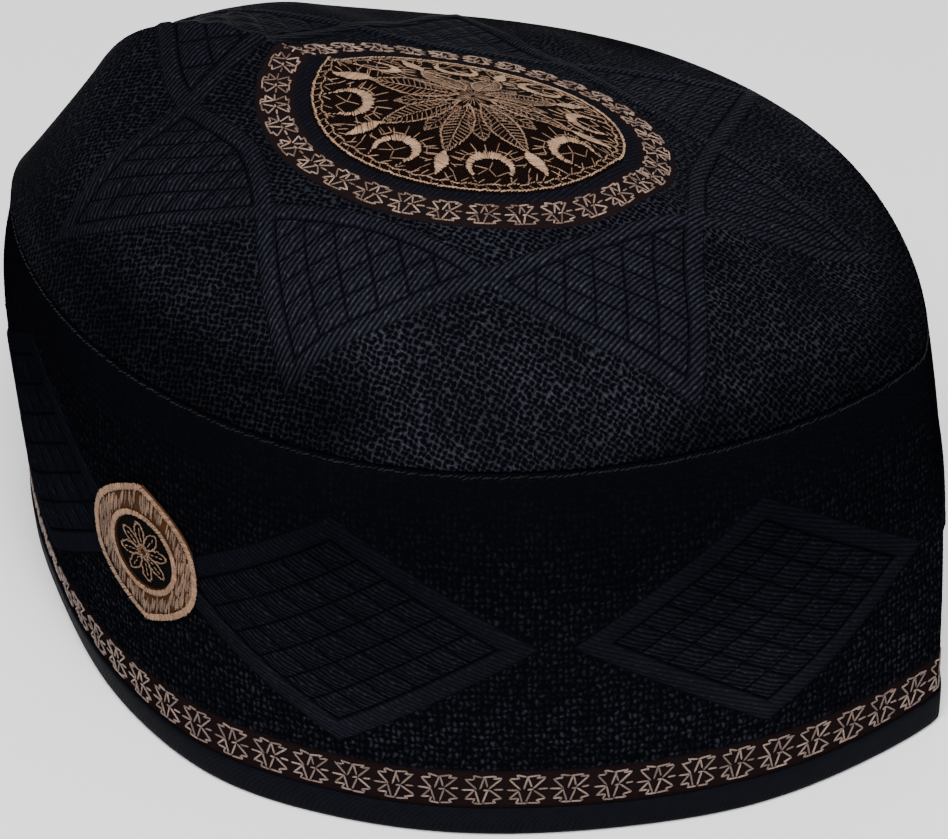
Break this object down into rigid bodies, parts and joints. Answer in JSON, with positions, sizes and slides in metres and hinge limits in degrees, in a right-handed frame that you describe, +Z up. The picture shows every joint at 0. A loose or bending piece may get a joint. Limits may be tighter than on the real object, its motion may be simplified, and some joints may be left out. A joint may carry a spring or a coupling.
{
  "type": "kufi",
  "caption": "Brimless quilted cloth cap with a tall side band, a domed crown with a fold ridge, a ribbon-bound hem, a round embroidered medallion and a side patch.",
  "frame": {"origin": "middle of the floor under the standing cap", "axes": "+Z up, -Y towards the front with the patch, +X along the crown's fold ridge towards the sharper pointed end"},
  "size_m": [0.2191, 0.1734, 0.1251],
  "materials": {
    "crown_cloth": "black-navy quilted cloth with a soft satin sheen on its raised strips",
    "band_cloth": "black-navy quilted cloth with fine eyelets between satin strips",
    "hem_ribbon": "plain black ribbon with fine slanting ribs",
    "medallion_thread": "copper embroidery thread over a dark brown ground",
    "patch_thread": "copper satin stitch with a soft silky gloss"
  },
  "bodies": {
    "root": {"crown": "crown_cloth", "band": "band_cloth", "hem_binding": "hem_ribbon", "crown_medallion": "medallion_thread", "side_badge": "patch_thread"}
  },
  "joints": []
}
